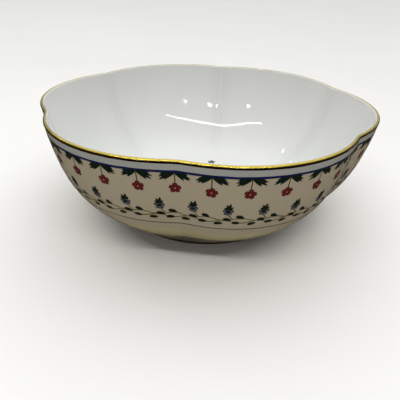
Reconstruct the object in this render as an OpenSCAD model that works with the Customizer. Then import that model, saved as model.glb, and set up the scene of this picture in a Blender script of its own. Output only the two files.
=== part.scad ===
// Lobed porcelain serving bowl on a round foot ring.
// The lip is gilt, and the outside carries an enamelled border: a blue line with
// hanging flowers, a row of buds on a twining vine, and a fine line under them.
// Millimetres, +Z up. The origin is on the table, under the middle of the foot.

/* [Bowl] */
// Width over two opposite lobes, gilding included
bowl_width = 244; // [225:1:265]
// Height from the table to the top of the gilt lip
bowl_height = 85.4; // [80:0.2:92]
// Number of lobes round the rim
lobe_count = 6; // [5:1:8]
// How far each notch between two lobes cuts in at the rim
notch_depth = 7.4; // [3:0.2:9]
// Sharpness of the notches, where 1 would be a knife edge
notch_sharpness = 0.996; // [0.95:0.001:0.999]
// How much deeper the notches get on the way down the wall
notch_swell = 0.16; // [0:0.01:0.3]
// How late the notches fade out above the round foot
notch_fade = 12; // [6:1:14]

/* [Wall] */
// Thickness of the rounded lip
lip_thickness = 2.6; // [2.2:0.1:3.2]
// How far the upper handle of the outer curve leans in
outer_lean = 7.8; // [6:0.2:10]
// Length of the upper handle of the outer curve
outer_upper_handle = 52; // [46:0.5:56]
// Reach of the lower handle of the outer curve, outwards
outer_lower_reach = 27; // [23:0.2:30]
// Rise of the lower handle of the outer curve
outer_lower_rise = 21.2; // [18:0.2:24]
// How far the upper handle of the inner curve leans in
inner_lean = 7; // [5:0.2:9]
// Length of the upper handle of the inner curve
inner_upper_handle = 45; // [40:0.5:49]
// Length of the lower handle of the inner curve, along the well
inner_lower_handle = 29; // [26:0.5:31]
// Radius of the level well inside
well_radius = 56; // [50:0.5:58]
// Thickness of the base under the well
base_thickness = 4.4; // [3.8:0.1:5.4]

/* [Foot ring] */
// Outer width of the foot ring
foot_width = 137.4; // [128:0.2:144]
// Height of the foot ring under the base
foot_height = 4; // [3.4:0.1:5]
// Thickness of the foot ring
foot_thickness = 5.2; // [4.4:0.1:6]
// Radius where the foot ring flows into the base
foot_fillet = 1.8; // [1:0.1:2]
// Radius of the two edges that stand on the table
foot_edge = 1; // [0.5:0.1:1.4]
// How far the wall ends outside the foot ring
foot_setback = 3; // [2.6:0.1:4]

/* [Gilding and lines] */
// Thickness of gold and enamel over the glaze
film = 0.2; // [0.15:0.05:0.3]
// How far the gilding runs down the outside, below the lip's own round
gilt_drop = 0.5; // [0.3:0.1:1]
// How many sixths of the lip's round the gilding covers, from the outer side
gilt_reach = 4; // [3:1:6]
// Middle of the blue line, below the top of the bowl
blue_line_drop = 6.7; // [6:0.1:7.6]
// Width of the blue line
blue_line_width = 1.4; // [0.8:0.1:1.6]
// Middle of the fine lower line, below the top of the bowl
lower_line_drop = 45.6; // [44.5:0.1:47]
// Width of the fine lower line
lower_line_width = 0.7; // [0.4:0.1:0.9]

/* [Flower border] */
// Number of hanging flowers, and of buds, round the bowl
motif_count = 37; // [30:1:40]
// Angle of the first flower, next to the notch at the front
motif_turn = -90.8; // [-95:0.1:-85]
// Middle of the hanging flowers, below the top of the bowl
flower_drop = 17.2; // [16:0.1:18]
// Radius of a flower over its petals
flower_radius = 3.3; // [2.4:0.1:3.5]
// Radius of a flower's pale centre
flower_eye = 0.8; // [0.5:0.1:0.9]
// Middle of the buds, below the top of the bowl
bud_drop = 30; // [29:0.1:30.6]
// Radius of a bud over its petals
bud_radius = 3; // [2.4:0.1:3.1]
// Width of the painted stems
stem_width = 0.7; // [0.4:0.05:0.75]

/* [Vine] */
// Middle of the vine, below the top of the bowl
vine_drop = 37.4; // [36.8:0.1:38]
// How far the two strands part above and below the middle
vine_sway = 2; // [1.4:0.1:2.4]
// Length of a vine leaf
vine_leaf_length = 5.1; // [3.4:0.1:5.3]
// Width of a vine leaf
vine_leaf_width = 2.8; // [1.6:0.1:3]

/* [Well sprig] */
// Distance of the sprig's top bud from the middle of the well
sprig_reach = 53; // [44:1:54]

/* [Hidden] */

// The fired body lies one film thickness inside the gilt outline
body_radius = bowl_width / 2 - film;
body_top = bowl_height - film;
lip_radius = lip_thickness / 2;
lip_base = body_top - lip_radius;
foot_radius = foot_width / 2;
well_level = foot_height + base_thickness;
notch_part = notch_depth / body_radius;
motif_pitch = 360 / motif_count;

// Film below the glaze's surface, so that flat motifs meet the curved wall
film_sink = 0.15;

// Sampling of the shell: azimuths per lobe, rows on each face, steps over the lip
lobe_steps = 16;
wall_rows = 16;
lip_steps = 6;
azimuths = [for (i = [0 : lobe_count * lobe_steps - 1]) i * 360 / (lobe_count * lobe_steps)];

porcelain = "white";
gold = "goldenrod";
navy = "midnightblue";
leaf_green = "darkgreen";
stem_olive = "darkolivegreen";
petal_red = "firebrick";
eye_pink = "mistyrose";
bud_blue = "slateblue";
line_grey = "dimgray";

// ---- Curves of the wall ----

outer_curve = [
    [body_radius, lip_base],
    [body_radius - outer_lean, lip_base - outer_upper_handle],
    [foot_radius + foot_setback + outer_lower_reach, foot_height + outer_lower_rise],
    [foot_radius + foot_setback, foot_height]
];

inner_curve = [
    [body_radius - lip_thickness, lip_base],
    [body_radius - lip_thickness - inner_lean, lip_base - inner_upper_handle],
    [well_radius + inner_lower_handle, well_level],
    [well_radius, well_level]
];

function unit(v) = v / norm(v);

function bezier(p, u) =
    pow(1 - u, 3) * p[0] + 3 * pow(1 - u, 2) * u * p[1]
    + 3 * (1 - u) * pow(u, 2) * p[2] + pow(u, 3) * p[3];

function bezier_slope(p, u) =
    pow(1 - u, 2) * (p[1] - p[0]) + 2 * (1 - u) * u * (p[2] - p[1]) + pow(u, 2) * (p[3] - p[2]);

// Where a curve has fallen to height z, found by halving
function fall_to(p, z, low = 0, high = 1, steps = 24) =
    let (mid = (low + high) / 2)
    steps == 0 ? mid
    : bezier(p, mid)[1] > z ? fall_to(p, z, mid, high, steps - 1)
    : fall_to(p, z, low, mid, steps - 1);

// Unit normal of the outer curve, pointing out of the wall
function outer_normal(u) =
    let (t = unit(bezier_slope(outer_curve, u)))
    [-t[1], t[0]];

// Notch depth, as a part of the radius, at a height between floor and rim:
// a little deeper on the way down, then fading out to a round foot
function notch_at(z, floor) =
    let (v = min(1, (body_top - z) / (body_top - floor)))
    notch_part * (1 + notch_swell * v) * (1 - pow(v, notch_fade));

// Radius at azimuth a of a ring of equal circular arcs: r is the radius at the
// middle of a lobe, and the notches cut in by the part d of it
function lobed(a, r, d) =
    let (c = r * (1 - pow(1 - d, 2)) / (2 * (1 - (1 - d) * cos(180 / lobe_count))),
         b = 2 / lobe_count * asin(notch_sharpness * sin(lobe_count * a / 2)))
    c * cos(b) + sqrt(pow(r - c, 2) - pow(c * sin(b), 2));

// A section point is [radius at a lobe's middle, height, notch part]
function outer_section(u, lift = 0) =
    let (p = bezier(outer_curve, u), q = p + lift * outer_normal(u))
    [q[0], q[1], notch_at(p[1], foot_height)];

function inner_section(u) =
    let (p = bezier(inner_curve, u))
    [p[0], p[1], notch_at(p[1], well_level)];

// The lip's round, from the outer side at 0 degrees to the inner side at 180
function lip_section(a, lift = 0) =
    [body_radius - lip_radius + (lip_radius + lift) * cos(a),
     lip_base + (lip_radius + lift) * sin(a),
     notch_part];

// One ring of points for a section point
function ring(s, angles = azimuths) =
    [for (a = angles) let (r = lobed(a, s[0], s[2])) [r * cos(a), r * sin(a), s[1]]];

// ---- Solids made of rings ----

function flatten(lists) = [for (l = lists) each l];

// Two triangles for each cell between ring i and ring j of n points
function band_faces(i, j, n) =
    [for (k = [0 : n - 1]) let (m = (k + 1) % n)
        each [[i * n + k, j * n + k, j * n + m], [i * n + k, j * n + m, i * n + m]]];

// A closed hoop: the sections go round its cross-section, anticlockwise when the
// outside of the bowl is on the right
module hoop(sections, angles = azimuths) {
    count = len(sections);
    polyhedron(
        points = flatten([for (s = sections) ring(s, angles)]),
        faces = flatten([for (i = [0 : count - 1]) band_faces(i, (i + 1) % count, len(angles))]));
}

// A thin line of enamel on the wall, between two places on the outer curve
module wall_line(u_high, u_low) {
    hoop([outer_section(u_low), outer_section(u_low, film),
          outer_section(u_high, film), outer_section(u_high)]);
}

function line_edge(drop, half_width) = fall_to(outer_curve, bowl_height - drop - half_width);

gilt_edge = fall_to(outer_curve, lip_base - gilt_drop);
blue_high = line_edge(blue_line_drop, -blue_line_width / 2);
blue_low = line_edge(blue_line_drop, blue_line_width / 2);
lower_high = line_edge(lower_line_drop, -lower_line_width / 2);
lower_low = line_edge(lower_line_drop, lower_line_width / 2);

// Rows of the outer face, top to bottom, with one along each edge of each line
line_edges = [gilt_edge, blue_high, blue_low, lower_high, lower_low];
row_gap = 0.4 / wall_rows;
function far_from_edges(u) = min([for (e = line_edges) abs(u - e)]) > row_gap;
function rows_between(low, high) =
    [for (i = [1 : wall_rows]) let (u = i / wall_rows) if (u > low && u < high && far_from_edges(u)) u];
outer_rows = concat([gilt_edge], rows_between(gilt_edge, blue_high), [blue_high, blue_low],
                    rows_between(blue_low, lower_high), [lower_high, lower_low],
                    rows_between(lower_low, 1), [1]);

// ---- Places on the wall and in the well ----

// Point on the outside at azimuth a, drop below the top of the bowl
function wall_point(a, drop, lift = 0) =
    let (s = outer_section(fall_to(outer_curve, bowl_height - drop), lift), r = lobed(a, s[0], s[2]))
    [r * cos(a), r * sin(a), s[1]];

// Point of the inner face above the place [x, y] in plan
function well_point(x, y) =
    let (r = norm([x, y]), a = atan2(y, x))
    r <= well_radius ? [x, y, well_level] : [x, y, well_rise(a, r)];

// Height of the inner face at azimuth a and radius r, found by halving
function well_rise(a, r, low = 0, high = 1, steps = 20) =
    let (mid = (low + high) / 2, s = inner_section(mid))
    steps == 0 ? s[1]
    : lobed(a, s[0], s[2]) > r ? well_rise(a, r, mid, high, steps - 1)
    : well_rise(a, r, low, mid, steps - 1);

// Lays what is drawn in the XY plane onto a surface at point p, where u and v
// point roughly along X and Y on that surface
module lay_on(p, u, v) {
    right = unit(u);
    out = unit(cross(u, v));
    up = cross(out, right);
    multmatrix([[right[0], up[0], out[0], p[0]],
                [right[1], up[1], out[1], p[1]],
                [right[2], up[2], out[2], p[2]]])
        translate([0, 0, -film_sink]) linear_extrude(film + film_sink) children();
}

module on_wall(a, drop) {
    step = 0.5;
    lay_on(wall_point(a, drop),
           wall_point(a + step, drop) - wall_point(a - step, drop),
           wall_point(a, drop - step) - wall_point(a, drop + step))
        children();
}

module in_well(x, y, turn = 0) {
    step = 1;
    lay_on(well_point(x, y),
           well_point(x + step, y) - well_point(x - step, y),
           well_point(x, y + step) - well_point(x, y - step))
        rotate(turn) children();
}

// One copy at each flower, or at each bud half a pitch further on
module border(drop, shift = 0) {
    for (i = [0 : motif_count - 1])
        on_wall(motif_turn + (i + shift) * motif_pitch, drop) children();
}

// ---- Painted shapes, flat ----

// Pointed leaflets that fan out from the origin; each finger is [length, angle],
// and neighbours meet at the part cleft of the shorter one's length
module leaf_fan(fingers, cleft = 0.62) {
    last = len(fingers) - 1;
    polygon([
        [0, 0],
        for (i = [0 : last]) each [
            fingers[i][0] * [cos(fingers[i][1]), sin(fingers[i][1])],
            if (i < last) let (l = cleft * min(fingers[i][0], fingers[i + 1][0]),
                               a = (fingers[i][1] + fingers[i + 1][1]) / 2)
                l * [cos(a), sin(a)]
        ]
    ]);
}

// Round petals about the origin
module petals(count, radius, depth = 0.4, turn = 90) {
    steps = 4 * count;
    polygon([for (i = [0 : steps - 1]) let (a = i * 360 / steps)
        radius * (1 - depth * (1 - cos(count * a)) / 2) * [cos(a + turn), sin(a + turn)]]);
}

// Almond-shaped leaf along X, pointed at both ends
module almond(length, width) {
    steps = 3;
    upper = [for (i = [0 : steps]) [(i / steps - 0.5) * length, width / 2 * sin(180 * i / steps)]];
    polygon(concat(upper, [for (i = [steps - 1 : -1 : 1]) [upper[i][0], -upper[i][1]]]));
}

// Straight stem from one place to another
module stem(from, to, width = stem_width) {
    side = width / 2 * unit([from[1] - to[1], to[0] - from[0]]);
    polygon([from + side, from - side, to - side, to + side]);
}

// ---- Body ----

module bowl_body() {
    rows = concat([for (i = [len(outer_rows) - 1 : -1 : 0]) outer_section(outer_rows[i])],
                  [for (i = [0 : lip_steps]) lip_section(180 * i / lip_steps)],
                  [for (i = [1 : wall_rows]) inner_section(i / wall_rows)]);
    n = len(azimuths);
    last = len(rows) - 1;
    under = n * len(rows);
    points = concat(flatten([for (s = rows) ring(s)]), [[0, 0, foot_height], [0, 0, well_level]]);
    shell = flatten([for (i = [0 : last - 1]) band_faces(i, i + 1, n)]);
    caps = [for (k = [0 : n - 1]) let (m = (k + 1) % n)
        each [[under, k, m], [last * n + k, under + 1, last * n + m]]];
    color(porcelain) polyhedron(points = points, faces = concat(shell, caps));
}

function arc(centre, radius, from, to, steps = 6) =
    [for (i = [0 : steps]) let (a = from + (to - from) * i / steps)
        centre + radius * [cos(a), sin(a)]];

module foot_ring() {
    inner = foot_radius - foot_thickness;
    section = concat(
        arc([inner + foot_edge, foot_edge], foot_edge, 180, 270),
        arc([foot_radius - foot_edge, foot_edge], foot_edge, 270, 360),
        arc([foot_radius + foot_fillet, foot_height - foot_fillet], foot_fillet, 180, 90),
        arc([inner - foot_fillet, foot_height - foot_fillet], foot_fillet, 90, 0));
    color(porcelain) rotate_extrude($fn = 180) polygon(section);
}

// ---- Gilding and lines ----

module gilt_rim() {
    over = [for (i = [0 : gilt_reach]) lip_section(180 * i / lip_steps, film)];
    under = [for (i = [gilt_reach : -1 : 0]) lip_section(180 * i / lip_steps)];
    color(gold) hoop(concat([outer_section(gilt_edge), outer_section(gilt_edge, film)], over, under));
}

module blue_line() {
    color(navy) wall_line(blue_high, blue_low);
}

module lower_line() {
    color(line_grey) wall_line(lower_high, lower_low);
}

// ---- Hanging flowers ----

spray_fingers = [[7.4, -13], [8.4, -22], [8, -32], [6, -44]];
spray_drop = blue_line_drop + blue_line_width / 2 + 0.3;

module leaf_sprays() {
    color(leaf_green) border(spray_drop) {
        leaf_fan(spray_fingers);
        mirror([1, 0]) leaf_fan(spray_fingers);
    }
}

// The stems reach from between the leaves of a spray to the flower under it
module flower_stems() {
    top = spray_drop + 0.8;
    bottom = flower_drop - flower_radius;
    color(stem_olive) border((top + bottom) / 2)
        square([stem_width, bottom - top], center = true);
}

module red_flowers() {
    color(petal_red) border(flower_drop) difference() {
        petals(5, flower_radius);
        circle(flower_eye, $fn = 24);
    }
}

module flower_centres() {
    color(eye_pink) border(flower_drop) circle(flower_eye, $fn = 24);
}

// ---- Buds ----

tuft_fingers = [[2.6, 128], [3.4, 104], [3.2, 72], [2.2, 48]];
tuft_rise = 0.72 * bud_radius;
// How far the foot of a bud's stem lies beside the bud, where it meets the vine
bud_stem_reach = 2.8;

module blue_buds() {
    color(bud_blue) border(bud_drop, 0.5) petals(3, bud_radius, 0.3, -90);
}

module bud_leaves() {
    color(leaf_green) border(bud_drop - tuft_rise, 0.5) leaf_fan(tuft_fingers);
}

// The stems lean from under a bud down to the vine
module bud_stems() {
    top = bud_drop + bud_radius;
    bottom = vine_drop - vine_sway / 2;
    half = (bottom - top) / 2;
    color(stem_olive) border((top + bottom) / 2, 0.5) stem([0, half], [bud_stem_reach, -half]);
}

// ---- Vine ----

// Each strand is a hoop that leaves the middle and comes back once a pitch
strand_steps = 5;
strand_azimuths = [for (i = [0 : motif_count * strand_steps - 1]) i * motif_pitch / strand_steps];
join_shift = -0.1;

// Height of a strand over the middle of the vine: side is 1 above, -1 below
function strand_rise(a, side) =
    side * vine_sway * (1 - cos(360 * ((a - motif_turn) / motif_pitch - 0.5 - join_shift))) / 2;

function strand_point(a, side, offset, lift) =
    wall_point(a, vine_drop - strand_rise(a, side) - offset, lift);

module strand(side) {
    half = stem_width / 2;
    corners = [[-half, -film_sink], [0, film], [half, -film_sink]];
    n = len(strand_azimuths);
    polyhedron(
        points = [for (c = corners) for (a = strand_azimuths) strand_point(a, side, c[0], c[1])],
        faces = flatten([for (i = [0 : 2]) band_faces(i, (i + 1) % 3, n)]));
}

module vine_strands() {
    color(stem_olive) {
        strand(1);
        strand(-1);
    }
}

// Each vine leaf is [shift along the vine in pitches, height over its middle, tilt]
vine_leaf_places = [[0, 0.8, -8], [0.37, 3, -26], [0.28, -2, 0], [-0.24, -2.8, 14]];

module vine_leaves() {
    color(leaf_green)
        for (leaf = vine_leaf_places)
            border(vine_drop - leaf[1], 0.5 + leaf[0])
                rotate(leaf[2]) almond(vine_leaf_length, vine_leaf_width);
}

// ---- Sprig painted in the well ----

// Places on the sprig are in plan, as parts of its reach, and it points along +Y
sprig_fork = [0, -0.2];
sprig_tail = [0.1, -0.92];
function up_main(part) = sprig_tail + part * (sprig_fork - sprig_tail);
sprig_tips = [[0, 1], [-0.46, 0.5], [0.46, 0.44], [-0.4, -0.2], [0.42, -0.26]];
sprig_forks = [sprig_fork, sprig_fork, sprig_fork, up_main(0.58), up_main(0.5)];
sprig_bloom = [0, 0.08];
sprig_bud_radius = 3.4;
sprig_bloom_radius = 6;
sprig_leaf = [8.5, 3];

module sprig_stem(from, to) {
    middle = sprig_reach * (from + to) / 2;
    half = sprig_reach * (to - from) / 2;
    in_well(middle[0], middle[1]) stem(-half, half, 1.4 * stem_width);
}

module sprig_stems() {
    color(stem_olive) {
        sprig_stem(sprig_tail, sprig_fork);
        for (i = [0 : len(sprig_tips) - 1])
            sprig_stem(sprig_forks[i], 0.94 * sprig_tips[i] + 0.06 * sprig_forks[i]);
    }
}

// Two leaves spread from each stem, part of the way from its fork to its tip
module sprig_leaves() {
    color(leaf_green)
        for (i = [0 : len(sprig_tips) - 1], part = [0.45, 0.72], side = [-1, 1]) {
            along = sprig_tips[i] - sprig_forks[i];
            heading = atan2(along[1], along[0]) + side * 42;
            base = sprig_reach * (sprig_forks[i] + part * along);
            middle = base + 0.55 * sprig_leaf[0] * [cos(heading), sin(heading)];
            in_well(middle[0], middle[1], heading) almond(sprig_leaf[0], sprig_leaf[1]);
        }
}

module sprig_buds() {
    color(bud_blue)
        for (tip = sprig_reach * sprig_tips) in_well(tip[0], tip[1]) petals(5, sprig_bud_radius);
}

module sprig_flower() {
    middle = sprig_reach * sprig_bloom;
    color(petal_red) in_well(middle[0], middle[1]) petals(5, sprig_bloom_radius);
}

bowl_body();
foot_ring();
gilt_rim();
blue_line();
leaf_sprays();
flower_stems();
red_flowers();
flower_centres();
blue_buds();
bud_leaves();
bud_stems();
vine_strands();
vine_leaves();
lower_line();
sprig_stems();
sprig_leaves();
sprig_buds();
sprig_flower();
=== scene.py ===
"""The looks of the lobed porcelain serving bowl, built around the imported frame.

Lengths are in millimetres and angles in degrees, until add_piece() makes metres of them. The
stage, at the end, is in metres.
A surface place is (a, u): a is the azimuth, and u runs from 0 at the lip to 1 at the foot or well.
"""

import math

import bpy
import numpy as np
from mathutils import Matrix, Vector


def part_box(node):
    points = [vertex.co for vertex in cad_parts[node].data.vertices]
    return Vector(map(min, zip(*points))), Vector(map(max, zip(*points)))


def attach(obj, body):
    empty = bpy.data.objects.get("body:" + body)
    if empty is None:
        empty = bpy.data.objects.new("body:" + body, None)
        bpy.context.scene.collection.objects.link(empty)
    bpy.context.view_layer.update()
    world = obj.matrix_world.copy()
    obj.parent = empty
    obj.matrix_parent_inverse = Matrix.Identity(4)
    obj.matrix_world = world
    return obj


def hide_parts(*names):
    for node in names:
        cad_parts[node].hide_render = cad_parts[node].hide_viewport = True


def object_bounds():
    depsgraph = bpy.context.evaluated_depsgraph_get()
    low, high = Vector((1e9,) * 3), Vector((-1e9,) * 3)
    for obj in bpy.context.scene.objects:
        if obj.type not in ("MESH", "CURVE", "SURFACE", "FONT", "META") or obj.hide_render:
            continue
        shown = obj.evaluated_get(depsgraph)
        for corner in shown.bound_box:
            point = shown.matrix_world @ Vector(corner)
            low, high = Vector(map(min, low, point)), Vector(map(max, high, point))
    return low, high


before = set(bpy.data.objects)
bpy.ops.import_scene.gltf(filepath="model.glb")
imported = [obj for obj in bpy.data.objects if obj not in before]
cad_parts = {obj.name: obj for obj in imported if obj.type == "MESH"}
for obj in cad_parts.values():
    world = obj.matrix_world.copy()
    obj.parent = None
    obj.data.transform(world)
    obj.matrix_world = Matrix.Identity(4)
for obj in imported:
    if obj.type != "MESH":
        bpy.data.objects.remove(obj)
cad_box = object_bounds()

MM_PER_M = 1000.0


def node_box(node):
    """Lowest and highest corner of a CAD node, in millimetres."""
    low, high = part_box(node)
    return np.array(low) * MM_PER_M, np.array(high) * MM_PER_M


# ---- Dimensions: sizes and places from the frame, shape handles as in the CAD part ----

TOP = cad_box[1][2] * MM_PER_M
BODY_LOW, BODY_HIGH = node_box("bowl_body")
BODY_RADIUS = BODY_HIGH[0]
BODY_TOP = BODY_HIGH[2]
FOOT_HEIGHT = BODY_LOW[2]
LIP_THICKNESS = 2.6
LIP_RADIUS = LIP_THICKNESS / 2
LIP_BASE = BODY_TOP - LIP_RADIUS

LOBES = 6
LOBE_ANGLE = 360 / LOBES
NOTCH_DEPTH = 7.4
# Nearer to 1 makes a sharper notch
NOTCH_SHARPNESS = 0.996
# How much deeper a notch grows on the way down, as a part of its depth
NOTCH_SWELL = 0.16
# A higher power fades the notches into the round foot more suddenly
NOTCH_FADE = 12

FOOT_FILLET = 1.8
FOOT_EDGE = 1.0
FOOT_THICKNESS = 5.2
FOOT_RADIUS = node_box("foot_ring")[1][0] - FOOT_FILLET
FOOT_SETBACK = 3.0
BASE_THICKNESS = 4.4
WELL_RADIUS = 56.0
WELL_LEVEL = FOOT_HEIGHT + BASE_THICKNESS

# Handles of the two wall curves, which are cubic Bezier curves of (radius, height)
OUTER_LEAN = 7.8
OUTER_UPPER_HANDLE = 52.0
OUTER_LOWER_HANDLE = 27.0
OUTER_LOWER_RISE = 21.2
INNER_LEAN = 7.0
INNER_UPPER_HANDLE = 45.0
INNER_LOWER_HANDLE = 29.0

OUTER_CURVE = np.array([
    [BODY_RADIUS, LIP_BASE],
    [BODY_RADIUS - OUTER_LEAN, LIP_BASE - OUTER_UPPER_HANDLE],
    [FOOT_RADIUS + FOOT_SETBACK + OUTER_LOWER_HANDLE, FOOT_HEIGHT + OUTER_LOWER_RISE],
    [FOOT_RADIUS + FOOT_SETBACK, FOOT_HEIGHT]])
INNER_CURVE = np.array([
    [BODY_RADIUS - LIP_THICKNESS, LIP_BASE],
    [BODY_RADIUS - LIP_THICKNESS - INNER_LEAN, LIP_BASE - INNER_UPPER_HANDLE],
    [WELL_RADIUS + INNER_LOWER_HANDLE, WELL_LEVEL],
    [WELL_RADIUS, WELL_LEVEL]])

# The border repeats this many times; the first spray hangs at this azimuth
MOTIFS = 37
MOTIF_TURN = -90.8
PITCH = 360.0 / MOTIFS


def middle_drop(node):
    """How far the middle of a CAD node lies below the top of the bowl."""
    low, high = node_box(node)
    return TOP - (low[2] + high[2]) / 2


# A drop is how far something lies below the top of the bowl
BLUE_LINE_DROP = middle_drop("blue_line")
BLUE_LINE_WIDTH = 1.5
LOWER_LINE_DROP = middle_drop("lower_line")
LOWER_LINE_WIDTH = 0.7
SPRAY_DROP = BLUE_LINE_DROP + 0.5
FLOWER_DROP = 17.2
BUD_DROP = 30.0
VINE_DROP = 37.4

# Enamel stands this far proud of the glaze, and its edge sinks this far into it
ENAMEL = 0.07
SINK = 0.04


# ---- The shape of the bowl ----

def bezier(curve, u):
    """Points of a wall curve."""
    u = np.asarray(u, float)[..., None]
    return ((1 - u) ** 3 * curve[0] + 3 * (1 - u) ** 2 * u * curve[1]
            + 3 * (1 - u) * u ** 2 * curve[2] + u ** 3 * curve[3])


def bezier_normal(curve, u):
    """Unit normal of a wall curve in its plane, on the side away from the axis."""
    u = np.asarray(u, float)[..., None]
    slope = ((1 - u) ** 2 * (curve[1] - curve[0]) + 2 * (1 - u) * u * (curve[2] - curve[1])
             + u ** 2 * (curve[3] - curve[2]))
    slope /= np.linalg.norm(slope, axis=-1, keepdims=True)
    return np.stack([-slope[..., 1], slope[..., 0]], -1)


def notch_part(z, bottom):
    """Notch depth as a part of the radius: deeper on the way down, then fading to round."""
    v = np.clip((BODY_TOP - z) / (BODY_TOP - bottom), 0, 1)
    return NOTCH_DEPTH / BODY_RADIUS * (1 + NOTCH_SWELL * v) * (1 - v ** NOTCH_FADE)


def lobed(a, r, part):
    """Radius at azimuth a of a ring of equal arcs, r at a lobe's middle."""
    half = math.cos(math.pi / LOBES)
    c = r * (1 - (1 - part) ** 2) / (2 * (1 - (1 - part) * half))
    b = np.arcsin(NOTCH_SHARPNESS * np.sin(np.radians(LOBES * a / 2))) * 2 / LOBES
    return c * np.cos(b) + np.sqrt((r - c) ** 2 - (c * np.sin(b)) ** 2)


def swept(a, r, z, part):
    """The point at azimuth a of the ring that a section point makes."""
    radius = lobed(a, r, part)
    return np.stack(np.broadcast_arrays(
        radius * np.cos(np.radians(a)), radius * np.sin(np.radians(a)), z), -1)


def outer_point(a, u, lift=0.0):
    """A point of the outside, lifted off the glaze by so much."""
    p = bezier(OUTER_CURVE, u)
    q = p + np.asarray(lift)[..., None] * bezier_normal(OUTER_CURVE, u)
    return swept(a, q[..., 0], q[..., 1], notch_part(p[..., 1], FOOT_HEIGHT))


def inner_point(a, u):
    """A point of the inside."""
    p = bezier(INNER_CURVE, u)
    return swept(a, p[..., 0], p[..., 1], notch_part(p[..., 1], WELL_LEVEL))


def lip_point(a, turn, lift=0.0):
    """A point of the lip's round; turn is 0 on its outer side and 180 on its inner side."""
    reach = LIP_RADIUS + np.asarray(lift)
    r = BODY_RADIUS - LIP_RADIUS + reach * np.cos(np.radians(turn))
    z = LIP_BASE + reach * np.sin(np.radians(turn))
    return swept(a, r, z, NOTCH_DEPTH / BODY_RADIUS)


FINE_U = np.linspace(0, 1, 2001)


def fall_to(curve, z):
    """Where a wall curve has fallen to height z."""
    return np.interp(-np.asarray(z, float), -bezier(curve, FINE_U)[:, 1], FINE_U)


def at_drop(drop):
    """Where the outside lies this far below the top of the bowl."""
    return fall_to(OUTER_CURVE, TOP - drop)


# ---- Meshes ----

def add_piece(name, points, faces, materials, nodes, tone, face_material=None):
    """Makes a smooth mesh piece, in metres, that rides on the bowl and stands for CAD nodes.
    tone is a number for each point, which its material reads."""
    mesh = bpy.data.meshes.new(name)
    mesh.from_pydata((np.asarray(points) / MM_PER_M).tolist(), [], faces)
    mesh.polygons.foreach_set("use_smooth", [True] * len(mesh.polygons))
    for material in materials:
        mesh.materials.append(material)
    if face_material is not None:
        mesh.polygons.foreach_set("material_index", face_material)
    layer = mesh.attributes.new("tone", "FLOAT", "POINT")
    layer.data.foreach_set("value", np.asarray(tone, np.float32))
    mesh.validate()
    mesh.update()
    piece = bpy.data.objects.new(name, mesh)
    bpy.context.scene.collection.objects.link(piece)
    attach(piece, "root")
    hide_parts(*nodes)


def loop_faces(rows, around, closed=False):
    """Quads between rings of points, ring by ring; closed joins the last ring to the first."""
    last = rows if closed else rows - 1
    faces = []
    for i in range(last):
        j = (i + 1) % rows
        for k in range(around):
            m = (k + 1) % around
            faces.append((i * around + k, j * around + k, j * around + m, i * around + m))
    return faces


# Points of a ring round the bowl
AROUND = 480
AZIMUTHS = np.arange(AROUND) * 360.0 / AROUND


def ripple(a, size, waves, seed):
    """A smooth uneven line round the bowl, such as a brush leaves."""
    rng = np.random.default_rng(seed)
    total = np.zeros_like(np.asarray(a, float))
    for wave in waves:
        total += np.sin(np.radians(wave * a + rng.uniform(0, 360))) * rng.uniform(0.5, 1.0)
    return size * total / math.sqrt(len(waves))


# Waves round the bowl in the edge of a brushed line
BRUSH_WAVES = (5, 11, 19, 34, 57, 83)


class Shapes:
    """Collects many closed patches of enamel into one mesh."""

    def __init__(self):
        self.points, self.faces, self.tone, self.count = [], [], [], 0

    def add(self, points, faces, tone):
        self.points.append(points)
        self.faces += [tuple(self.count + i for i in face) for face in faces]
        self.tone.append(np.broadcast_to(tone, len(points)))
        self.count += len(points)

    def piece(self, name, material, slot, node):
        add_piece(name, np.concatenate(self.points), self.faces, [material], [node],
                  np.concatenate(self.tone))


# Rings of a patch from its sunk edge to its middle: scale, lift as a part of ENAMEL, tone
PATCH_CROWN = 1.05
PATCH_RINGS = ((1.0, -SINK / ENAMEL, 0.0), (1.0, 0.25, 0.0), (0.93, 0.8, 0.1),
               (0.72, 1.0, 0.45), (0.36, PATCH_CROWN, 0.85))


def patch(shapes, outline, middle, place, height=1.0):
    """A domed patch of enamel. outline is a closed ring of (x, y), middle is a point inside it,
    and place(x, y, lift) puts flat points on the bowl."""
    outline, middle = np.asarray(outline, float), np.asarray(middle, float)
    rings, tone = [], []
    for scale, lift, shade in PATCH_RINGS:
        flat = middle + scale * (outline - middle)
        rings.append(place(flat[:, 0], flat[:, 1], lift * ENAMEL * (height if lift > 0 else 1)))
        tone += [shade] * len(outline)
    rings.append(place(middle[:1], middle[1:], PATCH_CROWN * ENAMEL * height))
    rings.append(place(middle[:1], middle[1:], -SINK))
    tone += [1.0, 0.0]
    n, rows = len(outline), len(PATCH_RINGS)
    crown, under = n * rows, n * rows + 1
    faces = loop_faces(rows, n)
    faces += [((rows - 1) * n + k, crown, (rows - 1) * n + (k + 1) % n) for k in range(n)]
    faces += [(k, (k + 1) % n, under) for k in range(n)]
    shapes.add(np.concatenate(rings), faces, tone)


def on_wall(angle, drop):
    """A function that puts flat (x, y) points on the outside, about a place on it."""
    u = float(at_drop(drop))
    step = 0.002
    along = np.linalg.norm(outer_point(angle + 0.1, u) - outer_point(angle - 0.1, u)) / 0.2
    down = np.linalg.norm(outer_point(angle, u + step) - outer_point(angle, u - step)) / (2 * step)

    def place(x, y, lift):
        return outer_point(angle + x / along, np.clip(u - y / down, 0, 1), lift)
    return place


INNER_PROFILE = bezier(INNER_CURVE, FINE_U)[::-1]


def in_well(x, y, lift):
    """Puts plan places on the well and the lowest, still round part of the inner wall."""
    z = np.interp(np.hypot(x, y), INNER_PROFILE[:, 0], INNER_PROFILE[:, 1])
    return np.stack(np.broadcast_arrays(x, y, z + lift), -1)


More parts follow.
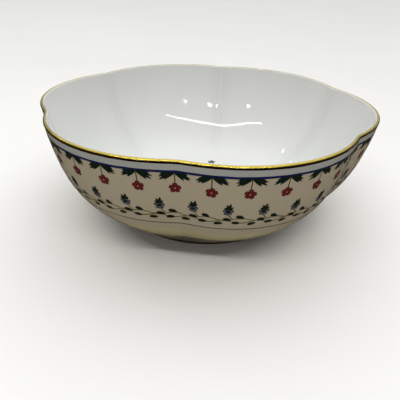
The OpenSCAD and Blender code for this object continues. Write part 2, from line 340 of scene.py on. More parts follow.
def moved(points, x=0.0, y=0.0, turn=0.0):
    """Flat points turned about the origin, then shifted."""
    c, s = math.cos(math.radians(turn)), math.sin(math.radians(turn))
    points = np.asarray(points, float)
    return points @ np.array([[c, s], [-s, c]]) + (x, y)


def leaf(length, width, bend=0.0, steps=9, fullness=0.8):
    """A pointed leaf along +X from its stalk at the origin, with its middle."""
    t = np.linspace(0, 1, steps + 1)
    spine = bend * np.sin(np.pi * t)
    half = width / 2 * np.sin(np.pi * t ** 0.85) ** fullness
    upper = np.stack([t * length, spine + half], -1)
    lower = np.stack([t * length, spine - half], -1)[-2:0:-1]
    return np.concatenate([lower[::-1], upper[::-1]]), np.array([length / 2, bend])


def petal(length, width, steps=16):
    """A round petal along +X, narrow at the origin and broad at its end, with its middle."""
    t = np.arange(steps) * 2 * np.pi / steps
    x = length * (0.54 + 0.46 * np.cos(t))
    y = width / 2 * np.sin(t) * (0.72 + 0.28 * np.cos(t))
    return np.stack([x, y], -1), np.array([0.6 * length, 0.0])


# Strokes are painted thinner than patches
STROKE_HEIGHT = 0.8
# Across a stroke: offset in half widths, lift as a part of its height, tone
STROKE_SECTION = ((1.0, None, 0.0), (0.9, 0.5, 0.2), (0.0, 1.0, 1.0), (-0.9, 0.5, 0.2),
                  (-1.0, None, 0.0))


def ribbon(shapes, path, width, place, shade=1.0):
    """A closed painted stroke of even width along a flat path, thin at both ends."""
    path = np.asarray(path, float)
    along = np.gradient(path, axis=0)
    along /= np.linalg.norm(along, axis=1, keepdims=True)
    side = np.stack([-along[:, 1], along[:, 0]], -1)
    t = np.linspace(0, 1, len(path))
    half = (width / 2 * np.minimum(1, 6 * np.minimum(t, 1 - t) + 0.35))[:, None]
    rings, tone = [], []
    for offset, part, value in STROKE_SECTION:
        flat = path + offset * half * side
        lift = -SINK if part is None else part * ENAMEL * STROKE_HEIGHT
        rings.append(place(flat[:, 0], flat[:, 1], lift))
        tone += [value * shade] * len(path)
    n, rows = len(path), len(STROKE_SECTION)
    faces = []
    for i in range(rows):
        j = (i + 1) % rows
        faces += [(i * n + k, j * n + k, j * n + k + 1, i * n + k + 1) for k in range(n - 1)]
    faces += [tuple(i * n for i in range(rows - 1, -1, -1)),
              tuple(i * n + n - 1 for i in range(rows))]
    shapes.add(np.concatenate(rings), faces, tone)


# ---- Materials ----

def new_material(name):
    material = bpy.data.materials.new(name)
    material.use_nodes = True
    tree = material.node_tree
    return material, tree, tree.nodes["Principled BSDF"]


def add_node(tree, kind, **values):
    """Adds a shader node and sets its properties or input sockets by name."""
    node = tree.nodes.new(kind)
    for key, value in values.items():
        if hasattr(node, key):
            setattr(node, key, value)
        else:
            node.inputs[key].default_value = value
    return node


def noise(tree, scale, detail=3.0):
    """Noise in object space; scale is in waves a metre."""
    place = add_node(tree, "ShaderNodeTexCoord")
    made = add_node(tree, "ShaderNodeTexNoise")
    made.inputs["Scale"].default_value = scale
    made.inputs["Detail"].default_value = detail
    tree.links.new(place.outputs["Object"], made.inputs["Vector"])
    return made.outputs["Fac"]


def ramp(tree, source, stops):
    """A colour ramp over a value; stops are (place, colour)."""
    made = tree.nodes.new("ShaderNodeValToRGB")
    elements = made.color_ramp.elements
    while len(elements) < len(stops):
        elements.new(0.5)
    for element, (place, colour) in zip(elements, stops):
        element.position = place
        element.color = (*colour, 1.0)
    tree.links.new(source, made.inputs["Fac"])
    return made.outputs["Color"]


def spread(tree, source, low, high, start=0.3, end=0.7):
    """Maps a value's range to another range."""
    made = tree.nodes.new("ShaderNodeMapRange")
    for key, value in (("From Min", start), ("From Max", end), ("To Min", low), ("To Max", high)):
        made.inputs[key].default_value = value
    tree.links.new(source, made.inputs["Value"])
    return made.outputs["Result"]


def bump(tree, shader, source, distance, before=None):
    """Roughens a shader by a height; before is the normal of a coarser bump under this one."""
    made = tree.nodes.new("ShaderNodeBump")
    made.inputs["Distance"].default_value = distance / MM_PER_M
    made.inputs["Strength"].default_value = 1.0
    tree.links.new(source, made.inputs["Height"])
    if before is not None:
        tree.links.new(before, made.inputs["Normal"])
    tree.links.new(made.outputs["Normal"], shader.inputs["Normal"])
    return made.outputs["Normal"]


def tone_value(tree):
    """The tone that add_piece() gave each point."""
    made = tree.nodes.new("ShaderNodeAttribute")
    made.attribute_name = "tone"
    return made.outputs["Fac"]


def mixed(tree, factor, first, second):
    """A mix of two colours, each a tuple or another node's output."""
    made = tree.nodes.new("ShaderNodeMix")
    made.data_type = "RGBA"
    tree.links.new(factor, made.inputs[0])
    for socket, colour in ((made.inputs[6], first), (made.inputs[7], second)):
        if isinstance(colour, tuple):
            socket.default_value = (*colour, 1.0)
        else:
            tree.links.new(colour, socket)
    return made.outputs[2]


# Where each band of painted shade on the glaze, and the white inside, lies in the ramp below
FOOT_SHADOW_TONE, LOW_SHADE_TONE, WALL_SHADE_TONE, BAND_SHADE_TONE, INSIDE_TONE = 0.0, 0.25, 0.6, 0.75, 1.0
# Porcelain colours, darkened on the outside with painted shade: a brown painted shadow over the
# foot, olive shade under the vine, dim ivory on the wall, grey shade in the band under the lip;
# white inside
PORCELAIN_AND_SHADE_TONES = ((FOOT_SHADOW_TONE, (0.022, 0.015, 0.006)), (0.2, (0.43, 0.38, 0.185)),
                   (0.45, (0.42, 0.365, 0.205)), (WALL_SHADE_TONE, (0.33, 0.285, 0.20)),
                   (BAND_SHADE_TONE, (0.29, 0.295, 0.275)), (INSIDE_TONE, (0.81, 0.82, 0.80)))
CLOUD_COLOUR = (0.55, 0.52, 0.46)
GLAZE_IOR = 1.42


def porcelain_material():
    """White hard-paste porcelain under a clear, faintly uneven glaze; its outside is darkened with
    painted shade, down to a brown painted shadow at the foot.
    """
    material, tree, shader = new_material("glazed_porcelain")
    body = ramp(tree, tone_value(tree), PORCELAIN_AND_SHADE_TONES)
    cloud = mixed(tree, spread(tree, noise(tree, 22.0), 0.0, 0.06), body, CLOUD_COLOUR)
    tree.links.new(cloud, shader.inputs["Base Color"])
    shader.inputs["IOR"].default_value = GLAZE_IOR
    tree.links.new(spread(tree, noise(tree, 60.0), 0.03, 0.07), shader.inputs["Roughness"])
    swell = bump(tree, shader, noise(tree, 28.0, 1.0), 0.18)
    bump(tree, shader, noise(tree, 240.0, 2.0), 0.004, before=swell)
    return material


def biscuit_material():
    """The bare ground edge of the foot."""
    material, tree, shader = new_material("bare_porcelain")
    grain = ramp(tree, noise(tree, 900.0, 6.0),
                 ((0.35, (0.55, 0.52, 0.46)), (0.7, (0.72, 0.7, 0.65))))
    tree.links.new(grain, shader.inputs["Base Color"])
    shader.inputs["Roughness"].default_value = 0.75
    bump(tree, shader, noise(tree, 2400.0, 6.0), 0.05)
    return material


def gold_material():
    """Burnished gold, a little cloudy, with a dark brown painted reflection along its outer lower
    edge.
    """
    material, tree, shader = new_material("burnished_gold")
    shader.inputs["Metallic"].default_value = 1.0
    rich = ramp(tree, noise(tree, 130.0, 4.0),
                ((0.3, (0.46, 0.35, 0.055)), (0.7, (0.58, 0.46, 0.10))))
    # Painted dark reflection: where the tone is low, on the lower outer side of the gilding, the
    # gold turns dark brown
    edge = ramp(tree, tone_value(tree), ((0.33, (0, 0, 0)), (0.5, (1, 1, 1))))
    colour = mixed(tree, edge, (0.05, 0.015, 0.008), rich)
    tree.links.new(colour, shader.inputs["Base Color"])
    tree.links.new(spread(tree, noise(tree, 420.0, 2.0), 0.2, 0.28), shader.inputs["Roughness"])
    bump(tree, shader, noise(tree, 300.0, 1.0), 0.002)
    return material


ENAMEL_WAVES = 500.0
ENAMEL_ROUGHNESS = (0.25, 0.45)
ENAMEL_SPECULAR = 0.12


def enamel_material(name, edge, heart, start=0.0):
    """Fired enamel: the edge colour up to the tone start, then turning to the heart colour."""
    material, tree, shader = new_material(name)
    laid = mixed(tree, spread(tree, tone_value(tree), 0.0, 1.0, start, 1.0), edge, heart)
    darker = tuple(0.7 * c for c in edge)
    streaks = spread(tree, noise(tree, ENAMEL_WAVES, 4.0), 0.0, 0.45, 0.45, 0.75)
    tree.links.new(mixed(tree, streaks, laid, darker), shader.inputs["Base Color"])
    rough = spread(tree, noise(tree, 2 * ENAMEL_WAVES), *ENAMEL_ROUGHNESS)
    tree.links.new(rough, shader.inputs["Roughness"])
    shader.inputs["Specular IOR Level"].default_value = ENAMEL_SPECULAR
    bump(tree, shader, noise(tree, 1.5 * ENAMEL_WAVES), 0.01)
    return material


PORCELAIN = porcelain_material()
BISCUIT = biscuit_material()
GOLD = gold_material()
NAVY = enamel_material("navy_enamel", (0.003, 0.005, 0.04), (0.005, 0.008, 0.08))
GREEN = enamel_material("green_enamel", (0.002, 0.006, 0.003), (0.004, 0.014, 0.007))
OLIVE = enamel_material("olive_enamel", (0.03, 0.026, 0.006), (0.15, 0.12, 0.015))
RED = enamel_material("red_enamel", (0.05, 0.003, 0.003), (0.17, 0.013, 0.014), start=0.3)
PINK = enamel_material("pink_enamel", (0.15, 0.03, 0.025), (0.4, 0.2, 0.16), start=0.2)
BLUE = enamel_material("blue_enamel", (0.003, 0.005, 0.009), (0.14, 0.17, 0.195), start=0.55)
GREY = enamel_material("grey_enamel", (0.02, 0.016, 0.01), (0.03, 0.024, 0.017))


# ---- Body ----

# How much painted shade greys the glaze beside a crease, and how far round that fades, in degrees
CREASE_SHADE = 0.04
CREASE_REACH = 3.5


def crease_shade_tone(a, u):
    """Tone of the inside: painted shade greys the glaze beside each crease, and only a little on
    its crest.
    """
    away = np.abs((a % LOBE_ANGLE) - LOBE_ANGLE / 2)
    pooled = CREASE_SHADE * np.exp(-away / CREASE_REACH) * np.where(away < 0.5, 0.2, 1.0)
    return INSIDE_TONE - pooled * np.interp(u, (0.45, 0.85), (1, 0))


# The outer wall runs down to this u, where it turns in over this width to the flat underside
WALL_END = 0.97
TURN_IN = 2.4
# Where the painted shade of the wall begins to deepen, is olive, and is a brown painted shadow
SHADE_PLACES = (0.45, 0.7, 0.8)


def underside_rows():
    """Rings of the underside, from near its middle out to the end of the wall."""
    corner = bezier(OUTER_CURVE, 1.0)
    wall = bezier(OUTER_CURVE, WALL_END)
    flat = corner - (TURN_IN, 0)
    rows = [swept(AZIMUTHS, r, FOOT_HEIGHT, 0.0) for r in np.linspace(6, flat[0], 9)]
    for t in (0.75, 0.5, 0.25):
        p = t * t * flat + 2 * t * (1 - t) * corner + (1 - t) ** 2 * wall
        rows.append(swept(AZIMUTHS, p[0], p[1], (1 - t) * notch_part(wall[1], FOOT_HEIGHT)))
    return rows


def outer_shade_tone(u):
    """Painted shade of the outside: grey under the lip, then darker down the wall to a brown
    painted shadow at the foot.
    """
    if u < at_drop(BLUE_LINE_DROP):
        return BAND_SHADE_TONE
    return float(np.interp(u, SHADE_PLACES, (WALL_SHADE_TONE, LOW_SHADE_TONE, FOOT_SHADOW_TONE)))


def bowl_shell():
    """The lobed wall, lip, well and underside as one closed skin."""
    a = AZIMUTHS
    rows = underside_rows()
    # Painted shade: the underside and the outside are darkened, and the inside is greyed beside its
    # creases
    tone = [np.full(AROUND, WALL_SHADE_TONE)] * len(rows)
    for u in np.linspace(WALL_END, 0, 72):
        rows.append(outer_point(a, u))
        tone.append(np.full(AROUND, outer_shade_tone(u)))
    for turn in np.linspace(0, 180, 13)[1:-1]:
        rows.append(lip_point(a, turn))
        tone.append(np.full(AROUND, INSIDE_TONE))
    for u in np.linspace(0, 1, 76):
        rows.append(inner_point(a, u))
        tone.append(crease_shade_tone(a, u))
    for r in np.linspace(WELL_RADIUS, 4, 12)[1:]:
        rows.append(swept(a, r, WELL_LEVEL, 0.0))
        tone.append(np.full(AROUND, INSIDE_TONE))
    points = np.concatenate(rows + [[(0, 0, FOOT_HEIGHT), (0, 0, WELL_LEVEL)]])
    faces = loop_faces(len(rows), AROUND)
    under = len(rows) * AROUND
    well, last = under + 1, under - AROUND
    for k in range(AROUND):
        m = (k + 1) % AROUND
        faces += [(under, k, m), (last + k, well, last + m)]
    add_piece("bowl_shell", points, faces, [PORCELAIN], ["bowl_body"],
              np.concatenate(tone + [[WALL_SHADE_TONE, INSIDE_TONE]]))


def arc(centre, radius, start, end, steps=8):
    """Points of an arc between two angles."""
    t = np.radians(np.linspace(start, end, steps + 1))
    return [(centre[0] + radius * math.cos(i), centre[1] + radius * math.sin(i)) for i in t]


# The foot is unglazed up to this height
BARE_HEIGHT = 0.3


def foot():
    """The foot ring, with its bare edge ground flat."""
    inner = FOOT_RADIUS - FOOT_THICKNESS
    fillet = FOOT_HEIGHT - FOOT_FILLET
    outline = (arc((inner + FOOT_EDGE, FOOT_EDGE), FOOT_EDGE, 180, 270)
               + arc((FOOT_RADIUS - FOOT_EDGE, FOOT_EDGE), FOOT_EDGE, 270, 360)
               + arc((FOOT_RADIUS + FOOT_FILLET, fillet), FOOT_FILLET, 180, 90)
               + arc((inner - FOOT_FILLET, fillet), FOOT_FILLET, 90, 0))
    rings = [swept(AZIMUTHS, r, z, 0.0) for r, z in outline]
    faces = loop_faces(len(rings), AROUND, closed=True)
    ahead = outline[1:] + outline[:1]
    bare = [int(max(this[1], after[1]) < BARE_HEIGHT) for this, after in zip(outline, ahead)]
    # Painted shade: the ring's outer side takes the brown painted shadow, its inner side the
    # darkened wall colour
    tone = [FOOT_SHADOW_TONE if r > inner + FOOT_THICKNESS / 2 else WALL_SHADE_TONE for r, z in outline]
    add_piece("foot", np.concatenate(rings), faces, [PORCELAIN, BISCUIT],
              ["foot_ring"], np.repeat(tone, AROUND), np.repeat(bare, AROUND))


# ---- Gilding and lines ----

GOLD_FILM = 0.06
# The gilding runs this far down the outside, and this far round the lip, in degrees
GILT_DROP = 0.55
GILT_TURN = 118.0


def gilding():
    """Gold brushed over the lip, with an uneven lower edge on each side."""
    a = AZIMUTHS
    edge = fall_to(OUTER_CURVE, LIP_BASE - GILT_DROP + ripple(a, 0.07, BRUSH_WAVES, 3))
    rows, tone = [outer_point(a, edge, -SINK)], [0.0]
    # Low tones on the outer side give the gold its painted dark reflection
    for part, shade in ((1.0, 0.0), (0.6, 0.1), (0.2, 0.25)):
        rows.append(outer_point(a, edge * part, GOLD_FILM))
        tone.append(shade)
    inside = GILT_TURN + ripple(a, 3.0, BRUSH_WAVES, 4)
    for part in np.linspace(0, 1, 13):
        rows.append(lip_point(a, part * inside, GOLD_FILM))
        tone.append(0.25 + 0.75 * part)
    for part in np.linspace(1, 0, 7):
        rows.append(lip_point(a, part * inside, -SINK))
        tone.append(1.0)
    faces = loop_faces(len(rows), AROUND, closed=True)
    add_piece("gilding", np.concatenate(rows), faces, [GOLD], ["gilt_rim"],
              np.repeat(tone, AROUND))


# Across a line or a strand: offset in half widths, lift as a part of ENAMEL, tone
LINE_SECTION = ((1, -SINK / ENAMEL, 0), (1, 0.3, 0), (0.7, 0.8, 0.5), (0, 1, 1), (-0.7, 0.8, 0.5),
                (-1, 0.3, 0), (-1, -SINK / ENAMEL, 0))
STRAND_SECTION = ((1, -SINK / ENAMEL, 0), (0.8, 0.5, 0.3), (0, 1, 1), (-0.8, 0.5, 0.3),
                  (-1, -SINK / ENAMEL, 0))


def painted_line(name, drop, width, material, node, seed):
    """A line brushed round the wall as the bowl turns on the wheel."""
    a = AZIMUTHS
    middle = drop + ripple(a, 0.05 * width, BRUSH_WAVES, seed)
    half = width / 2 * (1 + ripple(a, 0.08, BRUSH_WAVES, seed + 1))
    rows = [outer_point(a, at_drop(middle + offset * half), lift * ENAMEL)
            for offset, lift, shade in LINE_SECTION]
    tone = [shade for offset, lift, shade in LINE_SECTION]
    add_piece(name, np.concatenate(rows), loop_faces(len(rows), AROUND, closed=True), [material],
              [node], np.repeat(tone, AROUND))


# ---- Hanging flowers ----

CIRCLE_TURNS = np.arange(14) * np.pi / 7
CIRCLE = np.stack([np.cos(CIRCLE_TURNS), np.sin(CIRCLE_TURNS)], -1)


def motif_angles(shift=0.0):
    """Azimuths of a motif of the border, shifted by a part of a pitch."""
    return [MOTIF_TURN + (i + shift) * PITCH for i in range(MOTIFS)]


# Stems are painted darker than the vine
STEM_SHADE = 0.25
STEM_WIDTH = 0.7
PETALS = 5
PETAL_ANGLE = 72
PETAL_LENGTH, PETAL_WIDTH = 3.4, 3.7
HEART_RADIUS, EYE_RADIUS = 1.4, 0.72
# How full a slim leaf is toward its ends
SLIM = 0.65
# Leaflets of the right half of a spray: length, heading, width
SPRAY_LEAFLETS = ((7.6, -9, 1.8), (9.2, -19, 1.9), (9.6, -30, 1.9), (7.6, -42, 1.8))


def hanging_flowers():
    """The sprays of leaves under the navy line, each with a red flower on a fine stem."""
    rng = np.random.default_rng(11)
    leaves, stems, red, pink = Shapes(), Shapes(), Shapes(), Shapes()
    for angle in motif_angles():
        top = on_wall(angle, SPRAY_DROP)
        for side in (1, -1):
            for length, heading, width in SPRAY_LEAFLETS:
                length *= rng.uniform(0.94, 1.05)
                outline, middle = leaf(length, width, 0.25 * side, fullness=SLIM)
                turn = heading + rng.uniform(-2.5, 2.5)
                turn = turn if side > 0 else 180 - turn
                patch(leaves, moved(outline, turn=turn), moved(middle, turn=turn), top)
        sway = rng.uniform(-0.25, 0.25)
        fall = FLOWER_DROP - SPRAY_DROP
        t = np.linspace(0, 1, 9)
        path = np.stack([sway * np.sin(np.pi * t), -t * (fall - 1.2)], -1)
        ribbon(stems, path, STEM_WIDTH, top, STEM_SHADE)
        spot = on_wall(angle, FLOWER_DROP)
        spin = 90 + rng.uniform(-9, 9)
        for i in range(PETALS):
            outline, middle = petal(PETAL_LENGTH * rng.uniform(0.95, 1.05), PETAL_WIDTH)
            turn = spin + PETAL_ANGLE * i
            patch(red, moved(outline, turn=turn), moved(middle, turn=turn), spot, 1.2)
        patch(red, HEART_RADIUS * CIRCLE, (0.0, 0.0), spot, 1.6)
        patch(pink, EYE_RADIUS * CIRCLE, (0.0, 0.0), spot, 2.2)
    leaves.piece("hanging_leaves", GREEN, "green_enamel", "leaf_sprays")
    stems.piece("hanging_stems", OLIVE, "olive_enamel", "flower_stems")
    red.piece("flower_petals", RED, "red_enamel", "red_flowers")
    pink.piece("flower_eyes", PINK, "pink_enamel", "flower_centres")


# ---- Buds ----

# Petals of a bud and leaves of its tuft: length, heading, width
BUD_PETALS = ((3.1, 165, 3.0), (3.1, 15, 3.0), (3.2, -128, 2.7), (3.2, -52, 2.7), (3.1, -90, 2.5))
TUFT_LEAVES = ((3.2, 140, 1.5), (4.3, 108, 1.6), (5.0, 76, 1.8), (3.6, 46, 1.6))
BUD_HEART_RADIUS = 1.1
TUFT_RISE = 1.2
# The stem leaves its bud here, sideways and down, and sweeps this far aside
BUD_STEM_START = (0.4, 2.2)
BUD_STEM_SWEEP = 2.6


def buds():
    """The row of blue buds, each with a tuft of leaves and a stem from the vine."""
    rng = np.random.default_rng(23)
    blue, tufts, stems = Shapes(), Shapes(), Shapes()
    for angle in motif_angles(0.5):
        spot = on_wall(angle, BUD_DROP)
        for length, heading, width in BUD_PETALS:
            outline, middle = petal(length * rng.uniform(0.93, 1.07), width)
            turn = heading + rng.uniform(-4, 4)
            patch(blue, moved(outline, turn=turn), moved(middle, turn=turn), spot)
        patch(tufts, BUD_HEART_RADIUS * CIRCLE, (0.0, 0.0), spot, 0.8)
        for length, heading, width in TUFT_LEAVES:
            outline, middle = leaf(length, width)
            turn = heading + rng.uniform(-4, 4)
            patch(tufts, moved(outline, y=TUFT_RISE, turn=turn),
                  moved(middle, y=TUFT_RISE, turn=turn), spot, 1.3)
        t = np.linspace(0, 1, 9)
        reach = VINE_DROP - 0.8 - BUD_DROP
        aside, below = BUD_STEM_START
        path = np.stack([aside + BUD_STEM_SWEEP * t ** 1.4, -below - (reach - below) * t], -1)
        ribbon(stems, path, STEM_WIDTH, spot, STEM_SHADE)
    blue.piece("bud_petals", BLUE, "blue_enamel", "blue_buds")
    tufts.piece("bud_tufts", GREEN, "green_enamel", "bud_leaves")
    stems.piece("bud_stalks", OLIVE, "olive_enamel", "bud_stems")


# ---- Vine ----

VINE_SWAY = 2.0
# Where the strands meet, in pitches from a bud
VINE_JOIN = -0.1
VINE_STROKE = 0.9
VINE_LEAF_LENGTH, VINE_LEAF_WIDTH = 5.2, 3.0
# Leaves of one pitch, from its bud: shift in pitches, rise above the vine's middle, heading
VINE_LEAVES = ((0.0, 0.8, -8), (0.37, 3.0, -26), (0.28, -2.0, 0), (-0.24, -2.8, 14))


def vine_strand(shapes, side):
    """A wavy strand round the whole wall, which meets the other once a pitch."""
    a = np.arange(MOTIFS * 16) * PITCH / 16
    phase = np.radians(360 * ((a - MOTIF_TURN) / PITCH - 0.5 - VINE_JOIN))
    drop = VINE_DROP - side * VINE_SWAY * (1 - np.cos(phase)) / 2
    drop = drop + ripple(a, 0.12, (7, 13, 29, 41), 31 + side)
    half = VINE_STROKE / 2 * (1 + ripple(a, 0.15, (9, 17, 23, 61), 41 + side))
    rows, tone = [], []
    for offset, lift, shade in STRAND_SECTION:
        rows.append(outer_point(a, at_drop(drop + offset * half), lift * ENAMEL))
        tone += [shade] * len(a)
    shapes.add(np.concatenate(rows), loop_faces(len(rows), len(a), closed=True), tone)


def vine():
    """The two strands of the vine, and its leaves."""
    rng = np.random.default_rng(37)
    strands, leaves = Shapes(), Shapes()
    vine_strand(strands, 1)
    vine_strand(strands, -1)
    for angle in motif_angles(0.5):
        for shift, rise, heading in VINE_LEAVES:
            spot = on_wall(angle + shift * PITCH, VINE_DROP - rise)
            length = VINE_LEAF_LENGTH * rng.uniform(0.93, 1.07)
            outline, middle = leaf(length, VINE_LEAF_WIDTH, 0.15, fullness=SLIM)
            turn = heading + rng.uniform(-5, 5)
            outline = moved(outline - (length / 2, 0), turn=turn)
            middle = moved(middle - (length / 2, 0), turn=turn)
            patch(leaves, outline, middle, spot, 1.3)
    strands.piece("vine_strokes", OLIVE, "olive_enamel", "vine_strands")
    leaves.piece("vine_foliage", GREEN, "green_enamel", "vine_leaves")


# ---- Sprig in the well ----

# Places on the sprig are parts of its reach, in plan
SPRIG_REACH = 53.0
SPRIG_FORK = np.array([0.0, -0.2])
SPRIG_TAIL = np.array([0.1, -0.92])
SPRIG_TIPS = np.array([[0, 1], [-0.46, 0.5], [0.46, 0.44], [-0.4, -0.2], [0.42, -0.26]])
SPRIG_BLOOM = np.array([0.0, 0.08])
SPRIG_TAIL_WIDTH, SPRIG_STEM_WIDTH = 0.7, 0.6
SPRIG_LEAF_LENGTH, SPRIG_LEAF_WIDTH = 8.0, 2.9
SPRIG_BUD_LENGTH, SPRIG_BUD_WIDTH = 3.7, 3.1
# Two layers of petals of the bloom: length, width, turn, height
SPRIG_BLOOM_PETALS = ((6.4, 5.6, 90, 1.0), (3.6, 3.4, 126, 2.0))


def sprig_branch(stems, leaves, blue, fork, tip, rng):
    """A bowed stem from a fork to its tip, with three pairs of leaves, and a bud at the tip."""
    way = tip - fork
    across = np.array([-way[1], way[0]]) * 0.1 * np.sign(tip[0] + 0.01)
    t = np.linspace(0, 1, 15)[:, None]
    path = fork + t * way * 0.97 + np.sin(np.pi * t) * across
    ribbon(stems, SPRIG_REACH * path, SPRIG_STEM_WIDTH, in_well)
    for part in (0.3, 0.52, 0.74):
        for side in (-1, 1):
            base = SPRIG_REACH * (fork + part * way + math.sin(math.pi * part) * across)
            turn = math.degrees(math.atan2(way[1], way[0])) + side * rng.uniform(34, 48)
            length = SPRIG_LEAF_LENGTH * rng.uniform(0.85, 1.1)
            outline, middle = leaf(length, SPRIG_LEAF_WIDTH, 0.5 * side, 12)
            patch(leaves, moved(outline, *base, turn), moved(middle, *base, turn), in_well)
    centre = SPRIG_REACH * tip
    for i in range(PETALS):
        outline, middle = petal(SPRIG_BUD_LENGTH, SPRIG_BUD_WIDTH)
        turn = 90 + PETAL_ANGLE * i + rng.uniform(-5, 5)
        patch(blue, moved(outline, *centre, turn), moved(middle, *centre, turn), in_well)


def sprig():
    """A spray of buds and leaves about one red flower, painted in the well."""
    rng = np.random.default_rng(53)
    stems, leaves, blue, red = Shapes(), Shapes(), Shapes(), Shapes()
    low_forks = [SPRIG_TAIL + part * (SPRIG_FORK - SPRIG_TAIL) for part in (0.58, 0.5)]
    forks = np.array([SPRIG_FORK, SPRIG_FORK, SPRIG_FORK, *low_forks])
    t = np.linspace(0, 1, 15)[:, None]
    tail = SPRIG_REACH * (SPRIG_TAIL + t * (SPRIG_FORK - SPRIG_TAIL))
    ribbon(stems, tail, SPRIG_TAIL_WIDTH, in_well)
    for fork, tip in zip(forks, SPRIG_TIPS):
        sprig_branch(stems, leaves, blue, fork, tip, rng)
    centre = SPRIG_REACH * SPRIG_BLOOM
    for length, width, first, height in SPRIG_BLOOM_PETALS:
        for i in range(PETALS):
            outline, middle = petal(length, width, 20)
            turn = first + PETAL_ANGLE * i
            patch(red, moved(outline, *centre, turn), moved(middle, *centre, turn), in_well, height)
    stems.piece("sprig_strokes", OLIVE, "olive_enamel", "sprig_stems")
    leaves.piece("sprig_foliage", GREEN, "green_enamel", "sprig_leaves")
    blue.piece("sprig_blossoms", BLUE, "blue_enamel", "sprig_buds")
    red.piece("sprig_bloom", RED, "red_enamel", "sprig_flower")


# ---- Stage ----

# From here on, lengths are in metres
FLOOR_REACH = 4.0


def floor():
    """A wide pale floor. Reflections leave it out, since it would wash out the wall's colours."""
    mesh = bpy.data.meshes.new("floor")
    corners = [(x * FLOOR_REACH, y * FLOOR_REACH, 0)
               for x, y in ((-1, -1), (1, -1), (1, 1), (-1, 1))]
    mesh.from_pydata(corners, [], [(0, 1, 2, 3)])
    material, tree, shader = new_material("floor")
    shade = ramp(tree, noise(tree, 3.0), ((0.3, (0.90, 0.89, 0.87)), (0.7, (0.93, 0.92, 0.90))))
    tree.links.new(shade, shader.inputs["Base Color"])
    shader.inputs["Roughness"].default_value = 0.9
    mesh.materials.append(material)
    made = bpy.data.objects.new("floor", mesh)
    bpy.context.scene.collection.objects.link(made)
    made.visible_glossy = False


def area_light(name, place, target, size, power):
    """A rectangular light that faces a target."""
    light = bpy.data.lights.new(name, "AREA")
    light.shape = "RECTANGLE"
    light.size, light.size_y = size
    light.energy = power
    made = bpy.data.objects.new(name, light)
    bpy.context.scene.collection.objects.link(made)
    made.location = place
    made.rotation_euler = (Vector(target) - Vector(place)).to_track_quat("-Z", "Y").to_euler()
    return made


LAMP_HEIGHT = 1.5
TUBE_WATTS_PER_M = 5.2
TUBE_WIDTH = 0.085
# Ends of the tubes over the front of the bowl, in plan, from right to left
TUBE_ENDS = ((1.2, -0.86), (0.45, -1.0), (-0.6, -1.03), (-1.2, -0.87))
# Lamps: name, place in plan, size, watts
LAMPS = (("lamp_right", (0.62, -2.03), (0.2, 0.12), 2.6),
         ("lamp_left", (-0.78, -2.06), (0.2, 0.12), 2.6),
         ("lamp_back", (-1.81, 1.1), (0.16, 0.1), 1.2))
LAMP_TARGET = (0, 0, 0.05)
# The sky is brightest a little behind the bowl, and dim and warm down towards the horizon
SKY_LEAN = math.radians(25)
SKY_STOPS = ((0.0, (0.05, 0.042, 0.032)), (0.3, (0.085, 0.077, 0.068)), (0.6, (0.28, 0.28, 0.28)),
             (0.85, (0.84, 0.85, 0.86)), (1.0, (0.93, 0.94, 0.95)))
SKY_STRENGTH = 1.72
# The colour of the backdrop beyond the floor, which lights nothing
BACKDROP = (0.93, 0.92, 0.90)


def lamps():
    """A row of tubes and two small lamps in front of the bowl, and one lamp behind it."""
    for i, (start, end) in enumerate(zip(TUBE_ENDS, TUBE_ENDS[1:])):
        along = Vector(end) - Vector(start)
        centre = (Vector(start) + Vector(end)) / 2
        tube = area_light(f"tube_{i}", (*centre, LAMP_HEIGHT), (*centre, 0),
                          (along.length + 0.02, TUBE_WIDTH), TUBE_WATTS_PER_M * along.length)
        tube.rotation_euler = (0, 0, math.atan2(along.y, along.x))
    for name, place, size, watts in LAMPS:
        area_light(name, (*place, LAMP_HEIGHT), LAMP_TARGET, size, watts)


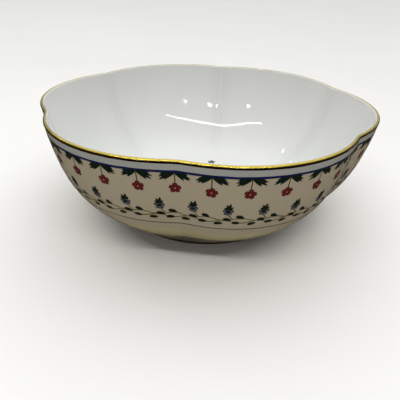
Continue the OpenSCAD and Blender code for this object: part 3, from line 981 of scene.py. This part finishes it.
def sky():
    """A sky that glows softly overhead, with a plain pale backdrop where the camera sees it."""
    world = bpy.data.worlds.new("surround")
    world.use_nodes = True
    tree = world.node_tree
    place = add_node(tree, "ShaderNodeTexCoord")
    height = add_node(tree, "ShaderNodeVectorMath", operation="DOT_PRODUCT")
    height.inputs[1].default_value = (0, math.sin(SKY_LEAN), math.cos(SKY_LEAN))
    tree.links.new(place.outputs["Generated"], height.inputs[0])
    glow = tree.nodes["Background"]
    tree.links.new(ramp(tree, height.outputs["Value"], SKY_STOPS), glow.inputs["Color"])
    glow.inputs["Strength"].default_value = SKY_STRENGTH
    backdrop = add_node(tree, "ShaderNodeBackground", Color=(*BACKDROP, 1.0))
    seen = add_node(tree, "ShaderNodeMixShader")
    rays = add_node(tree, "ShaderNodeLightPath")
    tree.links.new(rays.outputs["Is Camera Ray"], seen.inputs["Fac"])
    tree.links.new(glow.outputs["Background"], seen.inputs[1])
    tree.links.new(backdrop.outputs["Background"], seen.inputs[2])
    tree.links.new(seen.outputs["Shader"], tree.nodes["World Output"].inputs["Surface"])
    bpy.context.scene.world = world
    bpy.context.scene.view_settings.view_transform = "Standard"


# The camera looks down past the near rim, from close by; it is aimed off the rim's middle
CAMERA_DISTANCE = 2.485 * BODY_RADIUS / MM_PER_M
CAMERA_AZIMUTH = 6.92
CAMERA_ELEVATION = 15.64
CAMERA_PAN = 0.52
CAMERA_TILT = -14.71
CAMERA_ROLL = -2.1
CAMERA_LENS = 35.28
SENSOR_WIDTH = 36.0


def camera():
    """The camera, aimed from the middle of the rim by a small pan, tilt and roll."""
    data = bpy.data.cameras.new("camera")
    data.lens = CAMERA_LENS
    data.sensor_width = SENSOR_WIDTH
    data.clip_start = 0.01
    a, e = math.radians(CAMERA_AZIMUTH), math.radians(CAMERA_ELEVATION)
    back = Vector((math.sin(a) * math.cos(e), -math.cos(a) * math.cos(e), math.sin(e)))
    place = Vector((0, 0, TOP / MM_PER_M)) + back * CAMERA_DISTANCE
    aim = (-back).to_track_quat("-Z", "Y").to_matrix().to_4x4()
    for angle, axis in ((CAMERA_PAN, "Y"), (CAMERA_TILT, "X"), (-CAMERA_ROLL, "Z")):
        aim = aim @ Matrix.Rotation(math.radians(angle), 4, axis)
    made = bpy.data.objects.new("camera", data)
    bpy.context.scene.collection.objects.link(made)
    made.matrix_world = Matrix.Translation(place) @ aim
    bpy.context.scene.camera = made


camera()
bowl_shell()
foot()
gilding()
painted_line("navy_line", BLUE_LINE_DROP, BLUE_LINE_WIDTH, NAVY, "blue_line", 5)
painted_line("fine_line", LOWER_LINE_DROP, LOWER_LINE_WIDTH, GREY, "lower_line", 7)
hanging_flowers()
buds()
vine()
sprig()
floor()
lamps()
sky()
